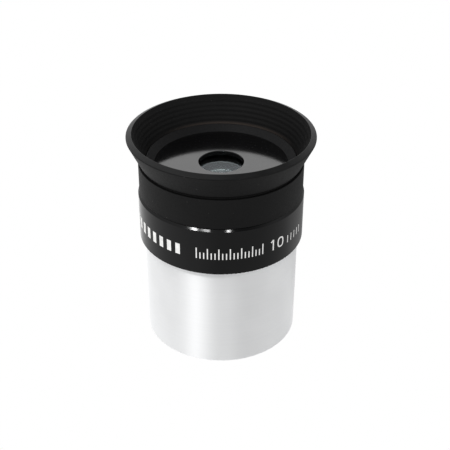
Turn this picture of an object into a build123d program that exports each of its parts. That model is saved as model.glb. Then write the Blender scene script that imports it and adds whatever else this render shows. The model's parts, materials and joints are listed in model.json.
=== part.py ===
from build123d import *
import math
import os

# A 1.25 inch telescope eyepiece of the symmetrical four-lens kind, focal length about 10 mm.
# Millimetres. +Z is the optical axis and points at the eye. The origin is the centre of the
# nosepiece's lower rim, so the eyepiece stands upright on Z = 0. Every piece is turned about Z.

# ---- Driving dimensions -------------------------------------------------------------------
BARREL_R = 15.85            # nosepiece outside radius, a sliding fit in a 1.25 inch focuser
BARREL_TOP = 22.35          # nosepiece length, and the height of the housing's lower shoulder
COLLAR_R = 16.8             # the housing's broad band
COLLAR_TOP = 32.4
NECK_R = 15.0               # the part of the housing that the rubber eyecup grips
NECK_TOP = 39.3
PLATE_TOP = 38.2            # the flat face around the eye lens, recessed inside the eyecup
LIP_R = 18.7                # widest radius of the eyecup's lip
LIP_TOP = 45.0              # height of the lip's crest, which is the overall height
EYE_HOLE_R = 4.47

RUNNING = 0.05              # radial clearance of pieces that slide or screw into each other
EDGE = 0.25                 # chamfer on turned metal edges
BROKEN_EDGE = 0.08          # rounding of turned metal edges that would otherwise be sharp

# ---- Threads, which are drawn as plain cylinders ------------------------------------------
FILTER_THREAD_R = 14.25     # major radius of the M28.5 x 0.6 filter thread
FILTER_THREAD_LENGTH = 4.0
HOUSING_THREAD_R = 14.25    # major radius of the thread between housing and nosepiece
HOUSING_THREAD_DEPTH = 0.3
HOUSING_THREAD_LENGTH = 4.3

# ---- Lenses -------------------------------------------------------------------------------
LENS_R = 5.75               # edge radius of all four lens elements
CEMENT_R = 10.6             # radius of curvature of the cemented surfaces
CROWN_R = 10.2              # radius of curvature of the surfaces that face each other
FLINT_CENTRE = 1.2          # flint thickness on the axis
CROWN_EDGE = 0.8            # crown thickness at its edge
VERTEX_GAP = 0.4            # air between the two doublets on the axis
EYE_LENS_DEPTH = 1.2        # eye lens surface below the face plate's top

# ---- Lens cell ----------------------------------------------------------------------------
CELL_R = 8.95
CELL_BORE_R = LENS_R + RUNNING
CELL_THREAD_R = 6.5         # wider lower bore, for the retaining ring and the field stop
CELL_LIP_R = 4.9
CELL_BOTTOM = 18.5
STOP_HOLE_R = 4.55
STOP_BOTTOM = 19.0
STOP_THICKNESS = 0.8

# ---- Face plate ---------------------------------------------------------------------------
PLATE_R = 13.3
PLATE_THICKNESS = 0.85

# ---- Eyecup -------------------------------------------------------------------------------
SLEEVE_R = 16.55
SLEEVE_BOTTOM = 32.5
FOLD_Z = 39.1               # height of the fold groove
FOLD_GAP = 0.1              # free space between the sleeve and the flare in the groove
FLARE_FOOT_R = 16.3
LIP_CREST_R = 17.6          # the lip slopes down from here to its outer edge
LIP_SLOPE = 0.55            # how far the outer edge lies below the crest
LIP_EDGE = 0.25             # height of the lip's outer edge


def turned(points):
    """A solid of revolution about Z from its half section.

    Each point is (radius, height), or (radius, height, rounding) where the corner is rounded.
    """
    corners = [(point[0], 0, point[1]) for point in points]
    roundings = [point[2] if len(point) == 3 else 0 for point in points]
    section = make_face(FilletPolyline(*corners, radius=roundings, close=True))
    return revolve(section, Axis.Z)


def sag(curvature_radius, height):
    """Depth of a spherical surface at a distance from its axis."""
    return curvature_radius - math.sqrt(curvature_radius**2 - height**2)


def spherical_arc(curvature_radius, edge_z, direction):
    """Half of a lens surface, from its edge to the axis. direction is 1 if it bulges upward."""
    middle = LENS_R / 2
    edge_sag = sag(curvature_radius, LENS_R)
    return ThreePointArc(
        (LENS_R, 0, edge_z),
        (middle, 0, edge_z + direction * (edge_sag - sag(curvature_radius, middle))),
        (0, 0, edge_z + direction * edge_sag),
    )


def lens(edge_top, edge_bottom, top_radius, top_direction, bottom_radius, bottom_direction):
    """One lens element. A radius of None is a flat surface."""
    if top_radius is None:
        top = Line((LENS_R, 0, edge_top), (0, 0, edge_top))
    else:
        top = spherical_arc(top_radius, edge_top, top_direction)
    if bottom_radius is None:
        bottom = Line((LENS_R, 0, edge_bottom), (0, 0, edge_bottom))
    else:
        bottom = spherical_arc(bottom_radius, edge_bottom, bottom_direction)
    rim = Line((LENS_R, 0, edge_top), (LENS_R, 0, edge_bottom))
    axis = Line(top @ 1, bottom @ 1)
    return revolve(make_face([top, axis, bottom, rim]), Axis.Z)


# ---- Heights of the lens stack, from the eye side down ------------------------------------
PLATE_BOTTOM = PLATE_TOP - PLATE_THICKNESS
EYE_FLINT_TOP = PLATE_TOP - EYE_LENS_DEPTH
EYE_FLINT_EDGE = EYE_FLINT_TOP - FLINT_CENTRE - sag(CEMENT_R, LENS_R)
EYE_CROWN_EDGE = EYE_FLINT_EDGE - CROWN_EDGE
EYE_CROWN_VERTEX = EYE_CROWN_EDGE - sag(CROWN_R, LENS_R)
FIELD_CROWN_VERTEX = EYE_CROWN_VERTEX - VERTEX_GAP
FIELD_CROWN_EDGE = FIELD_CROWN_VERTEX - sag(CROWN_R, LENS_R)
FIELD_FLINT_EDGE = FIELD_CROWN_EDGE - CROWN_EDGE
FIELD_FLINT_BOTTOM = FIELD_FLINT_EDGE - sag(CEMENT_R, LENS_R) - FLINT_CENTRE


def nosepiece():
    """The bright barrel: filter thread at the bottom, light path, housing thread at the top."""
    foot_rounding = 0.12
    thread_start = 0.5
    thread_end = thread_start + FILTER_THREAD_LENGTH
    relief_r = FILTER_THREAD_R + 0.2
    relief_end = thread_end + 0.7
    bore_r = FILTER_THREAD_R - 0.15
    shoulder = BARREL_TOP - HOUSING_THREAD_LENGTH - 0.3
    top_r = HOUSING_THREAD_R + RUNNING
    return turned([
        (FILTER_THREAD_R + 0.5, 0, BROKEN_EDGE),
        (BARREL_R, 0, foot_rounding),
        (BARREL_R, BARREL_TOP - EDGE, BROKEN_EDGE),
        (BARREL_R - EDGE, BARREL_TOP, BROKEN_EDGE),
        (top_r + EDGE, BARREL_TOP, BROKEN_EDGE),
        (top_r, BARREL_TOP - EDGE),
        (top_r, shoulder),
        (bore_r, shoulder - 0.2),
        (bore_r, relief_end + 0.35),
        (relief_r, relief_end),
        (relief_r, thread_end),
        (FILTER_THREAD_R, thread_end),
        (FILTER_THREAD_R, thread_start),
    ])


def housing():
    """The black body: threaded tail, broad band, neck for the eyecup and a seat for the plate."""
    tail_bottom = BARREL_TOP - HOUSING_THREAD_LENGTH
    core_r = HOUSING_THREAD_R - HOUSING_THREAD_DEPTH
    pilot_bottom = BARREL_TOP - 0.8
    bore_r = CELL_R + RUNNING
    seat_r = PLATE_R + RUNNING
    band_chamfer = 0.45
    lower_rounding = 0.15
    return turned([
        (bore_r, tail_bottom),
        (core_r - EDGE, tail_bottom),
        (core_r, tail_bottom + EDGE),
        (core_r, pilot_bottom - 0.3),
        (HOUSING_THREAD_R, pilot_bottom),
        (HOUSING_THREAD_R, BARREL_TOP),
        (COLLAR_R, BARREL_TOP, lower_rounding),
        (COLLAR_R, COLLAR_TOP - band_chamfer, BROKEN_EDGE),
        (COLLAR_R - band_chamfer, COLLAR_TOP, BROKEN_EDGE),
        (NECK_R, COLLAR_TOP),
        (NECK_R, NECK_TOP, BROKEN_EDGE),
        (NECK_R - EDGE, NECK_TOP, BROKEN_EDGE),
        (seat_r, PLATE_TOP),
        (seat_r, PLATE_BOTTOM),
        (bore_r, PLATE_BOTTOM),
    ])


def face_plate():
    """The flat recessed face with the eye lens's opening."""
    rim_chamfer = 0.1
    return turned([
        (EYE_HOLE_R, PLATE_BOTTOM),
        (PLATE_R, PLATE_BOTTOM),
        (PLATE_R, PLATE_TOP),
        (EYE_HOLE_R + rim_chamfer, PLATE_TOP),
        (EYE_HOLE_R, PLATE_TOP - rim_chamfer),
    ])


def lens_cell():
    """The tube that holds the lens stack, with a lip above it and a wider bore below it."""
    shoulder = FIELD_FLINT_BOTTOM + 0.04
    return turned([
        (CELL_THREAD_R, CELL_BOTTOM),
        (CELL_R - EDGE, CELL_BOTTOM),
        (CELL_R, CELL_BOTTOM + EDGE),
        (CELL_R, PLATE_BOTTOM - EDGE),
        (CELL_R - EDGE, PLATE_BOTTOM),
        (CELL_LIP_R, PLATE_BOTTOM),
        (CELL_LIP_R, EYE_FLINT_TOP),
        (CELL_BORE_R, EYE_FLINT_TOP),
        (CELL_BORE_R, shoulder),
        (CELL_THREAD_R, shoulder),
    ])


def lens_spacer():
    """The ring that keeps the doublets apart. Its inner corners touch both curved surfaces."""
    inner_r = LENS_R - 0.55
    top = EYE_CROWN_VERTEX + sag(CROWN_R, inner_r)
    bottom = FIELD_CROWN_VERTEX - sag(CROWN_R, inner_r)
    return turned([(inner_r, bottom), (LENS_R, bottom), (LENS_R, top), (inner_r, top)])


def lens_retaining_ring():
    """The threaded ring under the lens stack, with two slots for a spanner."""
    inner_r = LENS_R - 0.45
    outer_r = CELL_THREAD_R - RUNNING
    thickness = 1.6
    slot_width = 1.2
    slot_depth = 0.7
    bottom = FIELD_FLINT_BOTTOM - thickness
    ring = turned([
        (inner_r, FIELD_FLINT_BOTTOM),
        (inner_r + 0.4, bottom),
        (outer_r, bottom),
        (outer_r, FIELD_FLINT_BOTTOM),
    ])
    slot = Box(3 * CELL_R, slot_width, slot_depth, align=(Align.CENTER, Align.CENTER, Align.MIN))
    return ring - Pos(0, 0, bottom) * slot


def field_stop():
    """The diaphragm in the focal plane. It thins to a sharp inner edge."""
    outer_r = CELL_THREAD_R - RUNNING
    top = STOP_BOTTOM + STOP_THICKNESS
    edge_thickness = 0.15
    return turned([
        (STOP_HOLE_R + STOP_THICKNESS, STOP_BOTTOM),
        (outer_r, STOP_BOTTOM),
        (outer_r, top),
        (STOP_HOLE_R, top),
        (STOP_HOLE_R, top - edge_thickness),
    ])


def eyecup_sleeve():
    """The rubber band that grips the housing's neck, up to the fold groove."""
    inner_r = NECK_R + RUNNING
    rounding = 0.12
    top = FOLD_Z - FOLD_GAP / 2
    return turned([
        (inner_r, SLEEVE_BOTTOM),
        (SLEEVE_R, SLEEVE_BOTTOM, rounding),
        (SLEEVE_R, top, rounding),
        (inner_r, top),
    ])


def eyecup_flare():
    """The flared rubber lip above the fold groove, which folds down over the sleeve."""
    foot = FOLD_Z + FOLD_GAP / 2
    foot_inner_r = NECK_R + 2 * RUNNING
    edge_top = LIP_TOP - LIP_SLOPE
    return turned([
        (foot_inner_r, foot),
        (FLARE_FOOT_R, foot, 0.2),
        (LIP_R, edge_top - LIP_EDGE, 0.1),
        (LIP_R, edge_top, 0.1),
        (LIP_CREST_R, LIP_TOP, 0.1),
    ])


PARTS = {
    "nosepiece": nosepiece(),
    "housing": housing(),
    "face_plate": face_plate(),
    "lens_cell": lens_cell(),
    "eye_flint_lens": lens(EYE_FLINT_TOP, EYE_FLINT_EDGE, None, 0, CEMENT_R, 1),
    "eye_crown_lens": lens(EYE_FLINT_EDGE, EYE_CROWN_EDGE, CEMENT_R, 1, CROWN_R, -1),
    "lens_spacer": lens_spacer(),
    "field_crown_lens": lens(FIELD_CROWN_EDGE, FIELD_FLINT_EDGE, CROWN_R, 1, CEMENT_R, -1),
    "field_flint_lens": lens(FIELD_FLINT_EDGE, FIELD_FLINT_BOTTOM, CEMENT_R, -1, None, 0),
    "lens_retaining_ring": lens_retaining_ring(),
    "field_stop": field_stop(),
    "eyecup_sleeve": eyecup_sleeve(),
    "eyecup_flare": eyecup_flare(),
}

os.makedirs("parts", exist_ok=True)
for name, solid in PARTS.items():
    export_step(solid, f"parts/{name}.step")
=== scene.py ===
import json
import math

import bpy
from mathutils import Matrix, Vector

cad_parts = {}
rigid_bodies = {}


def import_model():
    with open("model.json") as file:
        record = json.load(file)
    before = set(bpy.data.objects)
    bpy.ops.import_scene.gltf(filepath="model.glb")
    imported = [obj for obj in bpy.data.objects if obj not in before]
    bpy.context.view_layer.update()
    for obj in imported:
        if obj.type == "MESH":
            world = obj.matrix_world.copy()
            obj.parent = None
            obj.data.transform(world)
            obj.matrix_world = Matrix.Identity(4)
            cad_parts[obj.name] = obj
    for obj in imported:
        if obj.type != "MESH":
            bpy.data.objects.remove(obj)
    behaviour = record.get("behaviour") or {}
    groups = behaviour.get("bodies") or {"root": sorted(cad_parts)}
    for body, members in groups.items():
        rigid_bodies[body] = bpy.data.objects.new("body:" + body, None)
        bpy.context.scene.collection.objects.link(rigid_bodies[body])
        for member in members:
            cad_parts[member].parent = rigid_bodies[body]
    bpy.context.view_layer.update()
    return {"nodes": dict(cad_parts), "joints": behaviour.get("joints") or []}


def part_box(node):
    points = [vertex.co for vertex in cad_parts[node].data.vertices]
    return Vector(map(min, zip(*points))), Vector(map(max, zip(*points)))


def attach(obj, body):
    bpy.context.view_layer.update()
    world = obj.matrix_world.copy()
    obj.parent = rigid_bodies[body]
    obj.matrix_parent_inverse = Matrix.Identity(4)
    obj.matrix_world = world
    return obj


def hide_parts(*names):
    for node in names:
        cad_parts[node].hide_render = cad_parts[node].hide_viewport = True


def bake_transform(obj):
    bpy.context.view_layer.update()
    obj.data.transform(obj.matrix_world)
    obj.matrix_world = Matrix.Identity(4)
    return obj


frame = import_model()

MM = 0.001
FULL_TURN = 2 * math.pi
nodes = frame["nodes"]

# ---- Sizes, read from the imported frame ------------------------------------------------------
BARREL_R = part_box("nosepiece")[1].x
BARREL_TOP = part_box("nosepiece")[1].z
COLLAR_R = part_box("housing")[1].x
NECK_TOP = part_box("housing")[1].z
TAIL_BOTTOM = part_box("housing")[0].z
PLATE_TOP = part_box("face_plate")[1].z
SLEEVE_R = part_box("eyecup_sleeve")[1].x
SLEEVE_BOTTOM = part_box("eyecup_sleeve")[0].z
FOLD_Z = (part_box("eyecup_sleeve")[1].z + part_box("eyecup_flare")[0].z) / 2
LIP_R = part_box("eyecup_flare")[1].x
LIP_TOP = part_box("eyecup_flare")[1].z
FOLD_TRAVEL = next(j for j in frame["joints"] if j["name"] == "eyecup_fold")["range_m"][1]

# ---- Sizes that the frame's boxes don't show ------------------------------------------------
NECK_R = 15.0 * MM          # the housing's neck, which the eyecup grips
AROUND = 288                # facets around a turned rubber piece
CORNER_STEPS = 5            # facets of a rounded corner
STEPS_PER_TURN = 96         # facets in one turn of a thread


# ---- Mesh helpers ---------------------------------------------------------------------------
def finished_mesh(name, vertices, faces, sharp_angle=35.0):
    """A mesh object, smooth except at edges sharper than the angle in degrees."""
    mesh = bpy.data.meshes.new(name)
    mesh.from_pydata(vertices, [], faces)
    mesh.validate()
    mesh.polygons.foreach_set("use_smooth", [True] * len(mesh.polygons))
    mesh.set_sharp_from_angle(angle=math.radians(sharp_angle))
    piece = bpy.data.objects.new(name, mesh)
    bpy.context.scene.collection.objects.link(piece)
    return piece


def rounded(corners):
    """A closed half section with rounded corners. Each corner is (radius, height, rounding)."""
    outline = []
    for index, (r, z, rounding) in enumerate(corners):
        here = Vector((r, z))
        before = (Vector(corners[index - 1][:2]) - here).normalized()
        after = (Vector(corners[(index + 1) % len(corners)][:2]) - here).normalized()
        half = before.angle(after) / 2
        centre = here + (before + after).normalized() * rounding / math.sin(half)
        first = here + before * rounding / math.tan(half) - centre
        last = here + after * rounding / math.tan(half) - centre
        for step in range(CORNER_STEPS + 1):
            spoke = first.lerp(last, step / CORNER_STEPS).normalized() * rounding
            outline.append(centre + spoke)
    return outline


def divided(outline, longest):
    """The same closed outline with its long straight stretches cut into short ones."""
    finer = []
    for here, there in zip(outline, outline[1:] + outline[:1]):
        pieces = max(1, math.ceil((there - here).length / longest))
        finer += [here.lerp(there, step / pieces) for step in range(pieces)]
    return finer


def lathe(name, outline):
    """A closed solid turned about Z. The outline runs anticlockwise: out, up, in and down."""
    count = len(outline)
    vertices, faces = [], []
    for step in range(AROUND):
        angle = FULL_TURN * step / AROUND
        vertices += [(p.x * math.cos(angle), p.x * math.sin(angle), p.y) for p in outline]
        here, there = step * count, (step + 1) % AROUND * count
        for i in range(count):
            j = (i + 1) % count
            faces.append((here + i, there + i, there + j, here + j))
    return finished_mesh(name, vertices, faces)


def thread_ridge(name, root_r, crest_r, pitch, start_z, end_z):
    """One right-handed helical ridge, from a thread's root radius to its crest radius. It
    rises from almost nothing over the first quarter turn, and runs out over the last."""
    root_half, crest_half = 0.40 * pitch, 0.08 * pitch
    least_height = 0.05
    quarter_turn = STEPS_PER_TURN / 4
    count = int((end_z - start_z) / pitch * STEPS_PER_TURN)
    vertices, faces = [], []
    for step in range(count + 1):
        angle = FULL_TURN * step / STEPS_PER_TURN
        middle = start_z + pitch * step / STEPS_PER_TURN
        taper = min(1.0, step / quarter_turn, (count - step) / quarter_turn)
        crest = root_r + (crest_r - root_r) * max(taper, least_height)
        for r, rise in ((root_r, -root_half), (crest, -crest_half),
                        (crest, crest_half), (root_r, root_half)):
            vertices.append((r * math.cos(angle), r * math.sin(angle), middle + rise))
    outward = crest_r > root_r
    for step in range(count):
        here, there = 4 * step, 4 * step + 4
        for i in range(4):
            j = (i + 1) % 4
            face = (here + i, there + i, there + j, here + j)
            faces.append(face if outward else face[::-1])
    first, last = (3, 2, 1, 0), tuple(4 * count + i for i in range(4))
    faces += [first, last] if outward else [first[::-1], last[::-1]]
    return finished_mesh(name, vertices, faces, sharp_angle=25.0)


# ---- Node helpers ---------------------------------------------------------------------------
class NodeShorthand:
    """Shorthand for building a node tree."""

    def __init__(self, tree):
        self.tree = tree

    def add(self, kind, properties=None, **inputs):
        """A new node. Inputs are sockets to link from, or plain values. An input is given by
        name, with _ for a space, or by number, as in i0."""
        node = self.tree.nodes.new(kind)
        for key, value in (properties or {}).items():
            setattr(node, key, value)
        for key, value in inputs.items():
            socket = node.inputs[int(key[1:]) if key[1:].isdigit() else key.replace("_", " ")]
            self.join(value, socket)
        return node

    def join(self, value, socket):
        """Links a socket to the input, or sets the input to a plain value."""
        if isinstance(value, bpy.types.NodeSocket):
            self.tree.links.new(value, socket)
        else:
            socket.default_value = value

    def math(self, operation, first, second=0.0, third=0.0):
        """The result of an arithmetic operation."""
        node = self.add("ShaderNodeMath", {"operation": operation}, i0=first, i1=second, i2=third)
        return node.outputs[0]

    def noise(self, position, scale, detail):
        """Soft noise about 0.5, with the given number of lumps to a metre."""
        node = self.add("ShaderNodeTexNoise", Vector=position, Scale=scale, Detail=detail,
                        Roughness=0.55)
        return node.outputs["Fac"]

    def spread(self, value, low, high, new_low, new_high):
        """The value, taken from one range to another and held within it."""
        node = self.add("ShaderNodeMapRange", i0=value, i1=low, i2=high, i3=new_low, i4=new_high)
        return node.outputs[0]

    def blend(self, factor, first, second):
        """A number between two others."""
        node = self.add("ShaderNodeMix", i0=factor, i2=first, i3=second)
        return node.outputs[0]

    def mix(self, factor, first, second):
        """A colour between two others."""
        node = self.add("ShaderNodeMix", {"data_type": "RGBA"})
        self.join(factor, node.inputs[0])
        self.join(first, node.inputs[6])
        self.join(second, node.inputs[7])
        return node.outputs[2]


class Paint(NodeShorthand):
    """A material under construction, with one Principled shader."""

    def __init__(self, name, **sockets):
        self.material = bpy.data.materials.new(name)
        self.material.use_nodes = True
        super().__init__(self.material.node_tree)
        self.shader = self.tree.nodes["Principled BSDF"]
        for socket, value in sockets.items():
            self.shader.inputs[socket.replace("_", " ")].default_value = value

    def bump(self, height, strength, distance, normal=None):
        """A surface normal tilted by small heights, on top of another such normal if given."""
        node = self.add("ShaderNodeBump", Strength=strength, Distance=distance, Height=height)
        if normal is not None:
            self.join(normal, node.inputs["Normal"])
        return node.outputs[0]

    def set(self, **sockets):
        """Links or sets inputs of the material's shader."""
        for socket, value in sockets.items():
            self.join(value, self.shader.inputs[socket.replace("_", " ")])

    def place(self):
        """The point on the piece, in metres in the piece's own frame."""
        return self.add("ShaderNodeTexCoord").outputs["Object"]

    def moulded_place(self):
        """The point where it lay in the unfolded moulding, so that grain moves with it."""
        node = self.add("ShaderNodeAttribute", {"attribute_name": "moulded_place"})
        return node.outputs["Vector"]

    def turning(self, position):
        """(radius, height) of the point, for lines left by a lathe."""
        axes = self.add("ShaderNodeSeparateXYZ", Vector=position)
        radius = self.math("SQRT", self.math(
            "ADD", self.math("MULTIPLY", axes.outputs[0], axes.outputs[0]),
            self.math("MULTIPLY", axes.outputs[1], axes.outputs[1])))
        return radius, axes.outputs[2]

    def lathe_lines(self, position, spacing):
        """Irregular fine lines around the axis, on cylinders and on flat faces alike."""
        wander = 0.15 * spacing
        radius, height = self.turning(position)
        along = self.math("ADD", radius, height)
        drift = self.math("MULTIPLY", self.noise(position, 60.0, 1.0), wander)
        line = self.math("DIVIDE", self.math("ADD", along, drift), spacing)
        node = self.add("ShaderNodeTexNoise", {"noise_dimensions": "1D"}, W=line, Scale=1.0,
                        Detail=2.0, Roughness=0.7)
        return node.outputs["Fac"]


# ---- Materials ------------------------------------------------------------------------------
def satin_aluminium():
    """The bright nosepiece: aluminium with a fine turned finish and faint handling marks."""
    paint = Paint("satin_aluminium", Metallic=1.0, Anisotropic=0.95, Anisotropic_Rotation=0.25)
    place = paint.place()
    fine = paint.lathe_lines(place, 0.05 * MM)
    broad = paint.lathe_lines(place, 0.6 * MM)
    smudge = paint.noise(place, 160.0, 4.0)
    tone = paint.spread(broad, 0.3, 0.7, 0.0, 1.0)
    colour = paint.mix(tone, (0.925, 0.93, 0.935, 1), (0.935, 0.94, 0.945, 1))
    rough = paint.math("ADD", paint.spread(fine, 0.2, 0.8, 0.50, 0.54),
                       paint.spread(smudge, 0.4, 0.7, 0.0, 0.04))
    tangent = paint.add("ShaderNodeTangent", {"direction_type": "RADIAL", "axis": "Z"})
    paint.set(Base_Color=colour, Roughness=rough, Tangent=tangent.outputs[0],
              Normal=paint.bump(fine, 0.05, 0.01 * MM))
    return paint.material


def gloss_black_anodising():
    """The housing: black anodised aluminium, polished before it was dyed."""
    paint = Paint("gloss_black_anodising", IOR=1.42)
    place = paint.place()
    fine = paint.lathe_lines(place, 0.08 * MM)
    haze = paint.noise(place, 220.0, 4.0)
    colour = paint.mix(paint.spread(haze, 0.35, 0.65, 0.0, 1.0),
                       (0.0018, 0.0020, 0.0024, 1), (0.0034, 0.0036, 0.0040, 1))
    rough = paint.math("ADD", paint.spread(haze, 0.3, 0.7, 0.06, 0.10),
                       paint.spread(fine, 0.3, 0.8, 0.0, 0.05))
    paint.set(Base_Color=colour, Roughness=rough, Normal=paint.bump(fine, 0.05, 0.005 * MM))
    return paint.material


def satin_black_anodising():
    """The face plate: black anodising over a finely faced surface, with a little dust."""
    paint = Paint("satin_black_anodising", IOR=1.6)
    place = paint.place()
    rings = paint.lathe_lines(place, 0.07 * MM)
    haze = paint.noise(place, 300.0, 4.0)
    specks = paint.math("GREATER_THAN", paint.noise(place, 5200.0, 0.0), 0.80)
    colour = paint.mix(specks, (0.0045, 0.0045, 0.005, 1), (0.05, 0.05, 0.05, 1))
    rough = paint.math("ADD", paint.spread(rings, 0.2, 0.8, 0.07, 0.11),
                       paint.spread(haze, 0.35, 0.7, 0.0, 0.02))
    paint.set(Base_Color=colour, Roughness=rough, Normal=paint.bump(rings, 0.02, 0.005 * MM))
    return paint.material


def matt_black_anodising():
    """The inner metal pieces: matt black against stray light, with coarser tool lines."""
    paint = Paint("matt_black_anodising", IOR=1.3)
    place = paint.place()
    rings = paint.lathe_lines(place, 0.12 * MM)
    grain = paint.noise(place, 4000.0, 2.0)
    colour = paint.mix(paint.spread(grain, 0.3, 0.7, 0.0, 1.0),
                       (0.012, 0.012, 0.0125, 1), (0.022, 0.022, 0.023, 1))
    normal = paint.bump(grain, 0.2, 0.02 * MM, paint.bump(rings, 0.35, 0.03 * MM))
    paint.set(Base_Color=colour, Roughness=paint.spread(rings, 0.2, 0.8, 0.42, 0.58),
              Normal=normal)
    return paint.material


def coated_glass():
    """Lens glass with an anti-reflection coating, which leaves a weak, almost grey reflection."""
    paint = Paint("coated_glass", Roughness=0.0, IOR=1.34, Transmission_Weight=1.0,
                  Thin_Film_Thickness=219.0, Thin_Film_IOR=1.32)
    place = paint.place()
    bloom = paint.noise(place, 400.0, 3.0)
    colour = paint.mix(paint.spread(bloom, 0.3, 0.7, 0.0, 1.0),
                       (0.90, 0.965, 0.95, 1), (0.93, 0.975, 0.965, 1))
    paint.set(Base_Color=colour)
    return paint.material


def lens_cement():
    """The clear cement between two elements. It bends no light, and gleams weakly."""
    paint = Paint("lens_cement", Roughness=0.0, IOR=1.0, Transmission_Weight=1.0)
    warm = paint.noise(paint.place(), 300.0, 2.0)
    paint.set(Base_Color=paint.mix(warm, (0.985, 0.99, 0.98, 1), (0.975, 0.985, 0.975, 1)))
    gleam = paint.add("ShaderNodeBsdfGlossy", Color=(0.022, 0.024, 0.025, 1), Roughness=0.06)
    both = paint.add("ShaderNodeAddShader", i0=paint.shader.outputs[0], i1=gleam.outputs[0])
    paint.join(both.outputs[0], paint.tree.nodes["Material Output"].inputs[0])
    return paint.material


def moulded_rubber():
    """The eyecup: matt black rubber with a fine grain and dust. At the back, and a little to the
    right, a painted warm reflection tints the inside brown along the neck."""
    paint = Paint("moulded_rubber", IOR=1.36, Sheen_Weight=0.02, Sheen_Roughness=0.4)
    place = paint.moulded_place()
    radius, height = paint.turning(place)
    grain = paint.noise(place, 3500.0, 3.0)
    cloud = paint.noise(place, 150.0, 4.0)
    dust = paint.math("GREATER_THAN", paint.noise(place, 2600.0, 0.0), 0.84)
    black = paint.mix(paint.spread(cloud, 0.3, 0.7, 0.0, 1.0),
                      (0.0045, 0.0046, 0.0048, 1), (0.0065, 0.0065, 0.0066, 1))
    # Painted warm reflection: a brown band on the inside along the neck, strongest at the back and
    # a little to the right.
    near_neck = paint.math("MULTIPLY", paint.spread(radius, 15.38 * MM, 15.15 * MM, 0.0, 1.0),
                           paint.spread(height, NECK_TOP - 0.3 * MM, NECK_TOP, 0.0, 1.0))
    right, back, _ = paint.add("ShaderNodeSeparateXYZ", Vector=place).outputs
    far = paint.math("MULTIPLY_ADD", right, 0.2, back)
    warm_reflection_mask = paint.math("MULTIPLY", near_neck,
                       paint.spread(far, 7.5 * MM, 15 * MM, 0.08, 1.0))
    with_warm_reflection = paint.mix(warm_reflection_mask, black, (0.070, 0.055, 0.047, 1))
    colour = paint.mix(dust, with_warm_reflection, (0.05, 0.05, 0.048, 1))
    rough = paint.spread(grain, 0.25, 0.75, 0.50, 0.66)
    paint.set(Base_Color=colour, Roughness=rough, Normal=paint.bump(grain, 0.25, 0.02 * MM))
    return paint.material


def polished_rubber():
    """The eyecup's lip, which handling has polished smoother than the rest."""
    paint = Paint("polished_rubber", IOR=1.46)
    place = paint.moulded_place()
    grain = paint.noise(place, 3500.0, 3.0)
    scuff = paint.noise(place, 420.0, 4.0)
    colour = paint.mix(paint.spread(scuff, 0.35, 0.7, 0.0, 1.0),
                       (0.0045, 0.0047, 0.0050, 1), (0.0080, 0.0082, 0.0086, 1))
    rough = paint.math("ADD", paint.spread(scuff, 0.3, 0.7, 0.28, 0.36),
                       paint.spread(grain, 0.25, 0.75, 0.0, 0.05))
    paint.set(Base_Color=colour, Roughness=rough, Normal=paint.bump(grain, 0.15, 0.02 * MM))
    return paint.material


def marking_paint():
    """The thick white paint of the collar's marks, slightly uneven and worn."""
    paint = Paint("marking_paint", IOR=1.45)
    place = paint.place()
    wear = paint.noise(place, 900.0, 4.0)
    colour = paint.mix(paint.spread(wear, 0.35, 0.7, 0.0, 1.0),
                       (0.86, 0.86, 0.85, 1), (0.70, 0.70, 0.69, 1))
    paint.set(Base_Color=colour, Roughness=paint.spread(wear, 0.3, 0.7, 0.42, 0.6),
              Normal=paint.bump(wear, 0.1, 0.01 * MM))
    return paint.material


ALUMINIUM = satin_aluminium()
GLOSS_BLACK = gloss_black_anodising()
SATIN_BLACK = satin_black_anodising()
MATT_BLACK = matt_black_anodising()
GLASS = coated_glass()
RUBBER = moulded_rubber()
LIP_RUBBER = polished_rubber()
WHITE_PAINT = marking_paint()
CEMENT = lens_cement()


def paint_faces(piece, material, chosen):
    """Gives a further finish to those faces of a piece that the test picks out."""
    mesh = piece.data
    mesh.materials.append(material)
    for face in mesh.polygons:
        if chosen(face):
            face.material_index = len(mesh.materials) - 1


CAD_FINISHES = {
    "nosepiece": ALUMINIUM,
    "housing": GLOSS_BLACK,
    "face_plate": SATIN_BLACK,
    "lens_cell": MATT_BLACK,
    "lens_spacer": MATT_BLACK,
    "lens_retaining_ring": MATT_BLACK,
    "field_stop": MATT_BLACK,
    "eye_flint_lens": GLASS,
    "eye_crown_lens": GLASS,
    "field_crown_lens": GLASS,
    "field_flint_lens": GLASS,
}
for name, material in CAD_FINISHES.items():
    mesh = nodes[name].data
    mesh.materials.clear()
    mesh.materials.append(material)

# The inside of the neck above the face plate is matt, and so are the lenses' edges.
paint_faces(nodes["housing"], MATT_BLACK,
            lambda face: face.center.z > PLATE_TOP and face.center.xy.length < NECK_R - 0.1 * MM)
for name, cemented_side in (("eye_flint_lens", -1), ("eye_crown_lens", 1),
                            ("field_crown_lens", -1), ("field_flint_lens", 1)):
    paint_faces(nodes[name], MATT_BLACK, lambda face: abs(face.normal.z) < 0.3)
    paint_faces(nodes[name], CEMENT, lambda face: face.normal.z * cemented_side > 0.3)


def add_piece(piece, material, body=None):
    """Gives a new piece its finish, and its body unless it bends between two."""
    piece.data.materials.append(material)
    if body is not None:
        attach(piece, body)


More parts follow.
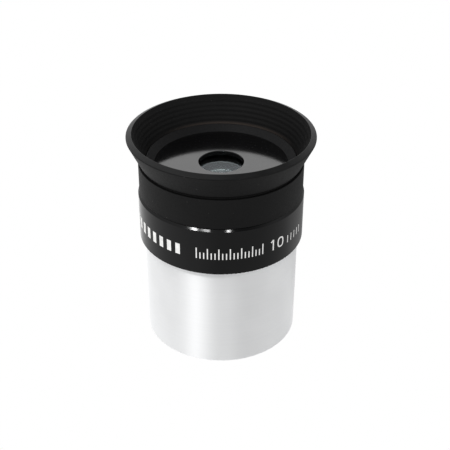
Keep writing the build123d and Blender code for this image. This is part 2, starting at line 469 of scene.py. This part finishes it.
# ---- Eyecup: one rubber moulding with a fold groove, a flare and a ribbed inside ------------
# Points of the half section are (radius, height).
BORE_R = NECK_R + 0.05 * MM
BORE_TOP = FOLD_Z - 0.1 * MM
GROOVE_R = 15.95 * MM       # the bottom of the groove
GROOVE_BELOW = FOLD_Z - 0.25 * MM
GROOVE_ABOVE = FOLD_Z + 0.1 * MM
FLARE_FOOT = Vector((16.4 * MM, FOLD_Z + 0.35 * MM))
LIP_EDGE_TOP = 44.45 * MM   # the lip slopes down to here from its crest
LIP_EDGE_BOTTOM = LIP_EDGE_TOP - 0.25 * MM
LIP_CREST_R = 17.6 * MM
LIP_INNER = Vector((LIP_CREST_R - 0.08 * MM, LIP_TOP - 0.2 * MM))
CONE_FOOT = Vector((15.12 * MM, FOLD_Z + 0.1 * MM))
RIBS = 5
RIB_PITCH = 0.9 * MM
RIB_DEPTH = 0.038 * MM
RIB_TOP = 44.28 * MM
POINTS_PER_RIB = 12
LONGEST_FACET = 0.25 * MM


def ribbed_cone():
    """The ribbed part of the flare's inside, from the lip down."""

    def wall_radius(z):
        """The radius of the plain cone that the ribs stand on."""
        share = (z - CONE_FOOT.y) / (LIP_INNER.y - CONE_FOOT.y)
        return CONE_FOOT.x + share * (LIP_INNER.x - CONE_FOOT.x)

    points = []
    for step in range(RIBS * POINTS_PER_RIB + 1):
        turn = step / POINTS_PER_RIB
        z = RIB_TOP - turn * RIB_PITCH
        inward = RIB_DEPTH * (1 - math.cos(FULL_TURN * turn)) / 2
        points.append(Vector((wall_radius(z) - inward, z)))
    return points


def eyecup_outline():
    """The half section, anticlockwise from the sleeve's lower inner edge."""
    corners = [
        (BORE_R, SLEEVE_BOTTOM, 0.1 * MM),
        (SLEEVE_R, SLEEVE_BOTTOM, 0.12 * MM),
        (SLEEVE_R, GROOVE_BELOW, 0.07 * MM),
        (GROOVE_R, GROOVE_BELOW, 0.12 * MM),
        (GROOVE_R, GROOVE_ABOVE, 0.12 * MM),
        (FLARE_FOOT.x, FLARE_FOOT.y, 0.3 * MM),
        (LIP_R, LIP_EDGE_BOTTOM, 0.1 * MM),
        (LIP_R, LIP_EDGE_TOP, 0.08 * MM),
        (LIP_CREST_R, LIP_TOP, 0.07 * MM),
    ]
    return rounded(corners) + ribbed_cone() + [CONE_FOOT, Vector((BORE_R, BORE_TOP))]


def build_eyecup():
    """The whole moulding, with a smoother finish on the lip's upward slope."""
    piece = lathe("rubber_eyecup", divided(eyecup_outline(), LONGEST_FACET))
    add_piece(piece, RUBBER)
    paint_faces(piece, LIP_RUBBER,
                lambda face: face.center.z > LIP_EDGE_TOP - 0.1 * MM and face.normal.z > 0.6)
    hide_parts("eyecup_sleeve", "eyecup_flare")
    return piece


eyecup = build_eyecup()
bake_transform(eyecup)

# ---- Fold of the eyecup ---------------------------------------------------------------------
# The rubber rolls over close above the groove as the lip travels down. The rest of the flare
# stays straight.
FOLD_ROOT = Vector((15.6 * MM, FOLD_Z))     # distances along the flare start here
LEAN = math.radians(24)     # of the flare, from the vertical
ROLL_LENGTH = 2.3 * MM      # of the part that bends
ROLL_ANGLE = math.radians(122)              # that it bends through at full travel
STILL = 1e-6                # lip travel that counts as none, in metres, and least curl


def store_places(mesh):
    """Keeps each point's place in the unfolded moulding, for the finish, and its place along and
    across the flare, for the fold. Points of the sleeve get -1 along the flare."""
    along, across = [], []
    mesh.attributes.new("moulded_place", "FLOAT_VECTOR", "POINT").data.foreach_set(
        "vector", [axis for vertex in mesh.vertices for axis in vertex.co])
    for vertex in mesh.vertices:
        out = vertex.co.xy.length - FOLD_ROOT.x
        up = vertex.co.z - FOLD_ROOT.y
        place = up * math.cos(LEAN) + out * math.sin(LEAN)
        along.append(place if up > 0 else -1.0)
        across.append(out * math.cos(LEAN) - up * math.sin(LEAN))
    for name, values in (("flare_along", along), ("flare_across", across)):
        mesh.attributes.new(name, "FLOAT", "POINT").data.foreach_set("value", values)


def fold_nodes():
    """Geometry nodes that roll the flare outward and down as far as the lip has travelled.
    The part that bends lies on a circle, whose curvature is the curl."""
    tree = bpy.data.node_groups.new("eyecup_fold", "GeometryNodeTree")
    for direction in ("INPUT", "OUTPUT"):
        tree.interface.new_socket("Geometry", in_out=direction, socket_type="NodeSocketGeometry")
    n = NodeShorthand(tree)

    def height_of(body):
        """How far a body has risen from rest."""
        info = n.add("GeometryNodeObjectInfo", {"transform_space": "ORIGINAL"},
                     Object=bpy.data.objects["body:" + body])
        return n.add("ShaderNodeSeparateXYZ", Vector=info.outputs["Location"]).outputs[2]

    def stored(name):
        """A number that store_places kept for each point."""
        node = n.add("GeometryNodeInputNamedAttribute", {"data_type": "FLOAT"}, Name=name)
        return node.outputs[0]

    along, across = stored("flare_along"), stored("flare_across")
    raised = height_of("eyecup")
    travel = n.math("SUBTRACT", raised, height_of("eyecup_lip"))
    full_curl = ROLL_ANGLE / ROLL_LENGTH
    curl = n.math("MAXIMUM", n.math("MULTIPLY", travel, full_curl / FOLD_TRAVEL), STILL)
    rolled = n.math("MINIMUM", along, ROLL_LENGTH)
    straight_on = n.math("SUBTRACT", along, rolled)
    angle = n.math("MULTIPLY_ADD", curl, rolled, LEAN)
    sine, cosine = n.math("SINE", angle), n.math("COSINE", angle)

    out = n.math("DIVIDE", n.math("SUBTRACT", math.cos(LEAN), cosine), curl)
    out = n.math("MULTIPLY_ADD", straight_on, sine, out)
    out = n.math("MULTIPLY_ADD", across, cosine, out)
    radius = n.math("ADD", out, FOLD_ROOT.x)

    up = n.math("DIVIDE", n.math("SUBTRACT", sine, math.sin(LEAN)), curl)
    up = n.math("MULTIPLY_ADD", straight_on, cosine, up)
    up = n.math("SUBTRACT", up, n.math("MULTIPLY", across, sine))
    height = n.math("ADD", n.math("ADD", up, raised), FOLD_ROOT.y)

    here = n.add("ShaderNodeSeparateXYZ", Vector=n.add("GeometryNodeInputPosition").outputs[0])
    azimuth = n.math("ARCTAN2", here.outputs[1], here.outputs[0])
    place = n.add("ShaderNodeCombineXYZ", X=n.math("MULTIPLY", radius, n.math("COSINE", azimuth)),
                  Y=n.math("MULTIPLY", radius, n.math("SINE", azimuth)), Z=height)
    folding = n.math("MULTIPLY", n.math("GREATER_THAN", along, 0.0),
                     n.math("GREATER_THAN", travel, STILL))
    moved = n.add("GeometryNodeSetPosition", Geometry=n.add("NodeGroupInput").outputs[0],
                  Selection=folding, Position=place.outputs[0])
    n.add("NodeGroupOutput", Geometry=moved.outputs[0])
    return tree


store_places(eyecup.data)
eyecup.modifiers.new("fold", "NODES").node_group = fold_nodes()

# ---- Threads --------------------------------------------------------------------------------
FILTER_PITCH = 0.6 * MM
FILTER_MAJOR_R = 14.25 * MM
FILTER_MINOR_R = 13.93 * MM
FILTER_START, FILTER_END = 0.85 * MM, 4.2 * MM
HOUSING_PITCH = 0.75 * MM
TAIL_CORE_R = 13.95 * MM
TAIL_CREST_R = 14.22 * MM
TAIL_START, TAIL_END = TAIL_BOTTOM + 0.6 * MM, BARREL_TOP - 1.5 * MM
ROOT_SUNK = 0.01 * MM       # a ridge's root lies this deep in the metal

filter_thread = thread_ridge("filter_thread", FILTER_MAJOR_R + ROOT_SUNK, FILTER_MINOR_R,
                             FILTER_PITCH, FILTER_START, FILTER_END)
add_piece(filter_thread, ALUMINIUM, "nosepiece")

tail_thread = thread_ridge("housing_tail_thread", TAIL_CORE_R - ROOT_SUNK, TAIL_CREST_R,
                           HOUSING_PITCH, TAIL_START, TAIL_END)
add_piece(tail_thread, GLOSS_BLACK, "housing")

# ---- Collar marks: a generic index scale and the focal length as a plain numeral ------------
MARK_BASE_Z = 25.8 * MM
MARK_TOP_Z = 28.2 * MM
MARK_PROUD = 0.015 * MM     # the paint's surface stands this far out of the collar
MARK_DEPTH = 0.02 * MM      # and its back lies this deep in it
BAR_WIDTH = 1.05 * MM
TICK_WIDTH = 0.26 * MM
PEN_WIDTH = 0.33 * MM       # of the numerals' strokes
PATH_STEP = 0.3 * MM
OVAL_STEPS = 40


def stroke(path, width, closed=False):
    """A painted line on the collar. The path is (distance around, height) points. Returns a
    ring of four points across the line at each of them, and whether the line is closed."""
    points = [Vector(p) for p in path]
    count = len(points)
    rings = []
    for i, here in enumerate(points):
        before = points[i - 1] if closed or i > 0 else here
        after = points[(i + 1) % count] if closed or i < count - 1 else here
        along = (after - before).normalized()
        side = Vector((-along.y, along.x)) * width / 2
        ring = []
        for edge, r in ((here + side, COLLAR_R - MARK_DEPTH), (here - side, COLLAR_R - MARK_DEPTH),
                        (here - side, COLLAR_R + MARK_PROUD), (here + side, COLLAR_R + MARK_PROUD)):
            azimuth = edge.x / COLLAR_R
            ring.append((r * math.sin(azimuth), -r * math.cos(azimuth), edge.y))
        rings.append(ring)
    return rings, closed


def straight(start, end):
    """A straight path cut into short steps, so that it can follow the collar round."""
    start, end = Vector(start), Vector(end)
    steps = max(1, math.ceil((end - start).length / PATH_STEP))
    return [start.lerp(end, step / steps) for step in range(steps + 1)]


def oval(centre, half_width, half_height):
    """A closed upright oval, squarer than an ellipse, as a numeral's zero is."""
    squareness = 0.8
    path = []
    for step in range(OVAL_STEPS):
        angle = FULL_TURN * step / OVAL_STEPS
        across, up = math.cos(angle), math.sin(angle)
        path.append((centre[0] + half_width * math.copysign(abs(across) ** squareness, across),
                     centre[1] + half_height * math.copysign(abs(up) ** squareness, up)))
    return path


def around(degrees):
    """Distance around the collar from its front, which is towards -Y."""
    return math.radians(degrees) * COLLAR_R


def upright(degrees, width, share=1.0):
    """An upright mark, over its share of the full height."""
    at = around(degrees)
    top = MARK_BASE_Z + share * (MARK_TOP_Z - MARK_BASE_Z)
    return stroke(straight((at, MARK_BASE_Z), (at, top)), width)


def collar_strokes():
    """All marks: bold bars on the left, a graduation in the middle with a higher tick at every
    third place, and the numeral 10 on the right with a few ticks after it."""
    strokes = [upright(-86 + 7 * index, BAR_WIDTH) for index in range(9)]
    for index in range(19):
        strokes.append(upright(-16.5 + 2.5 * index, TICK_WIDTH, 1.0 if index % 3 == 0 else 0.6))
    strokes += [upright(51 + 4 * index, TICK_WIDTH, 0.7) for index in range(5)]

    one, zero = 37.0, 43.5
    flag = straight((around(one) - 0.55 * MM, MARK_TOP_Z - 0.5 * MM), (around(one), MARK_TOP_Z))
    middle = (around(zero), (MARK_TOP_Z + MARK_BASE_Z) / 2)
    half_height = (MARK_TOP_Z - MARK_BASE_Z - PEN_WIDTH) / 2
    strokes += [upright(one, PEN_WIDTH), stroke(flag, PEN_WIDTH),
                stroke(oval(middle, 0.68 * MM, half_height), PEN_WIDTH, closed=True)]
    return strokes


def build_marks():
    """All marks as one piece, each of them a closed solid."""
    vertices, faces = [], []
    for rings, closed in collar_strokes():
        first = len(vertices)
        for ring in rings:
            vertices += ring
        spans = len(rings) if closed else len(rings) - 1
        for span in range(spans):
            here = first + 4 * span
            there = first + 4 * ((span + 1) % len(rings))
            for i in range(4):
                j = (i + 1) % 4
                faces.append((here + i, here + j, there + j, there + i))
        if not closed:
            last = first + 4 * (len(rings) - 1)
            faces.append((first + 3, first + 2, first + 1, first))
            faces.append((last, last + 1, last + 2, last + 3))
    return finished_mesh("collar_marks", vertices, faces)


add_piece(build_marks(), WHITE_PAINT, "housing")


# ---- Stage, lights and camera ---------------------------------------------------------------
# Azimuth 0 is in front of the eyepiece, and 90 is to its right.
FLOOR_HALF = 3.0
FLOOR_BEHIND = 1.1          # the floor's glow at azimuth -180
# (from azimuth, to azimuth, change of glow between them). The changes add up to nothing, so the
# glow meets itself behind.
# The dip from azimuth 100 to 135 is a painted shadow of the eyepiece on the floor behind it on the
# right.
FLOOR_CHANGES = ((-95, -65, 0.02), (-50, -34, -0.06), (-28, -2, -0.24), (50, 95, 0.12),
                 (100, 135, -0.49), (145, 178, 0.65))
BOUNCE_DROP = 0.5 * MM
SHADE_INSET = 1.5 * MM
TENT_LEFT, TENT_RIGHT, TENT_CORNER_DIP = 1.05, 1.2, 0.35
TENT_TOP_LEFT, TENT_TOP_RIGHT = 1.15, 0.35
CARD_GLOW = 2.3
LAMP_DISTANCE = 0.6
LAMP_TARGET = Vector((0, 0, 22 * MM))
CAMERA_PLACE = Vector((0, -0.16539, 0.126656))
CAMERA_YAW, CAMERA_PITCH, CAMERA_ROLL = 0.0048, 0.5590, 0.0029
LENS_MM, SENSOR_MM = 75.0, 36.0


def sheet(name, height, strength):
    """A large level sheet that glows evenly, or with the strength that a node gives."""
    half = FLOOR_HALF
    corners = [(-half, -half, height), (half, -half, height),
               (half, half, height), (-half, half, height)]
    plane = finished_mesh(name, corners, [(0, 1, 2, 3)])
    paint = Paint(name, Base_Color=(0, 0, 0, 1), Roughness=1.0, IOR=1.0,
                  Emission_Color=(1, 1, 1, 1))
    paint.set(Emission_Strength=strength(paint))
    plane.data.materials.append(paint.material)
    return plane


def build_floor():
    """The camera sees an even white floor, which lights nothing. The eyepiece is lit by the glow of
    one just below it, which is dark where the nosepiece stands, as a painted shadow of it."""
    floor = sheet("floor", 0.0, lambda paint: 1.0)
    for rays in ("diffuse", "glossy", "transmission"):
        setattr(floor, "visible_" + rays, False)

    def bounce(paint):
        """The glow, which changes with azimuth and fades out under the nosepiece as a painted
        shadow.
        """
        place = paint.place()
        right, back, _ = paint.add("ShaderNodeSeparateXYZ", Vector=place).outputs
        azimuth = paint.math("ARCTAN2", right, paint.math("MULTIPLY", back, -1.0))
        glow = FLOOR_BEHIND
        for start, end, change in FLOOR_CHANGES:
            glow = paint.math("ADD", glow, paint.spread(azimuth, math.radians(start),
                                                        math.radians(end), 0.0, change))
        radius = paint.turning(place)[0]
        unshaded = paint.spread(radius, BARREL_R - SHADE_INSET, BARREL_R, 0.0, 1.0)
        return paint.math("MULTIPLY", glow, unshaded)

    sheet("floor_bounce", -BOUNCE_DROP, bounce).visible_camera = False


def build_world():
    """A white tent, a little dimmer at the right rear corner, and dim overhead on the right,
    with a bright card high up behind. The camera sees it as plain white."""
    world = bpy.data.worlds.new("white_tent")
    world.use_nodes = True
    n = NodeShorthand(world.node_tree)
    direction = n.add("ShaderNodeTexCoord").outputs["Generated"]
    right, back, up = n.add("ShaderNodeSeparateXYZ", Vector=direction).outputs

    sides = n.spread(right, -0.35, 0.0, TENT_LEFT, TENT_RIGHT)
    corner = n.spread(n.math("ADD", right, back), 0.6, 1.2, 0.0, TENT_CORNER_DIP)
    sides = n.math("SUBTRACT", sides, corner)
    ceiling = n.spread(right, -0.3, 0.3, TENT_TOP_LEFT, TENT_TOP_RIGHT)
    overhead = n.spread(up, 0.6, 0.8, 0.0, 1.0)
    tent = n.blend(overhead, sides, ceiling)

    within_height = n.math("MULTIPLY", n.spread(up, 0.40, 0.46, 0.0, 1.0),
                           n.spread(up, 0.64, 0.70, 1.0, 0.0))
    card = n.math("MULTIPLY", n.spread(back, 0.70, 0.78, 0.0, 1.0), within_height)
    strength = n.blend(card, tent, CARD_GLOW)
    seen = n.add("ShaderNodeLightPath").outputs["Is Camera Ray"]
    strength = n.blend(seen, strength, 1.0)
    background = world.node_tree.nodes["Background"]
    n.join(strength, background.inputs["Strength"])
    background.inputs["Color"].default_value = (1, 1, 1, 1)
    bpy.context.scene.world = world


def lamp(name, azimuth, elevation, width, height, radiance):
    """A rectangular softbox aimed at the eyepiece's middle."""
    a, e = math.radians(azimuth), math.radians(elevation)
    away = Vector((math.sin(a) * math.cos(e), -math.cos(a) * math.cos(e), math.sin(e)))
    data = bpy.data.lights.new(name, "AREA")
    data.shape = "RECTANGLE"
    data.size, data.size_y = width, height
    data.energy = radiance * math.pi * width * height
    light = bpy.data.objects.new(name, data)
    light.location = LAMP_TARGET + away * LAMP_DISTANCE
    light.rotation_mode = "QUATERNION"
    light.rotation_quaternion = away.to_track_quat("Z", "Y")
    light.visible_camera = False
    bpy.context.scene.collection.objects.link(light)


def build_camera():
    """The camera stands in front of the eyepiece and looks down on it."""
    yaw, pitch = CAMERA_YAW, CAMERA_PITCH
    forward = Vector((math.sin(yaw) * math.cos(pitch), math.cos(yaw) * math.cos(pitch),
                      -math.sin(pitch)))
    level = Vector((math.cos(yaw), -math.sin(yaw), 0))
    right = Matrix.Rotation(-CAMERA_ROLL, 3, forward) @ level
    up = right.cross(forward)
    data = bpy.data.cameras.new("camera")
    data.lens, data.sensor_width = LENS_MM, SENSOR_MM
    camera = bpy.data.objects.new("camera", data)
    rotation = Matrix((right, up, -forward)).transposed()
    camera.matrix_world = Matrix.Translation(CAMERA_PLACE) @ rotation.to_4x4()
    bpy.context.scene.collection.objects.link(camera)
    bpy.context.scene.camera = camera


build_floor()
build_world()
# These three make the short glints on the collar's upper edge.
lamp("lamp_far_left", -47.5, 52.3, 0.125, 0.016, 72.0)
lamp("lamp_left", -28.8, 55.6, 0.115, 0.014, 36.0)
lamp("lamp_right", 13.0, 56.5, 0.04, 0.018, 52.0)
build_camera()
bpy.context.scene.view_settings.view_transform = "Standard"
bpy.context.scene.view_settings.gamma = 0.8
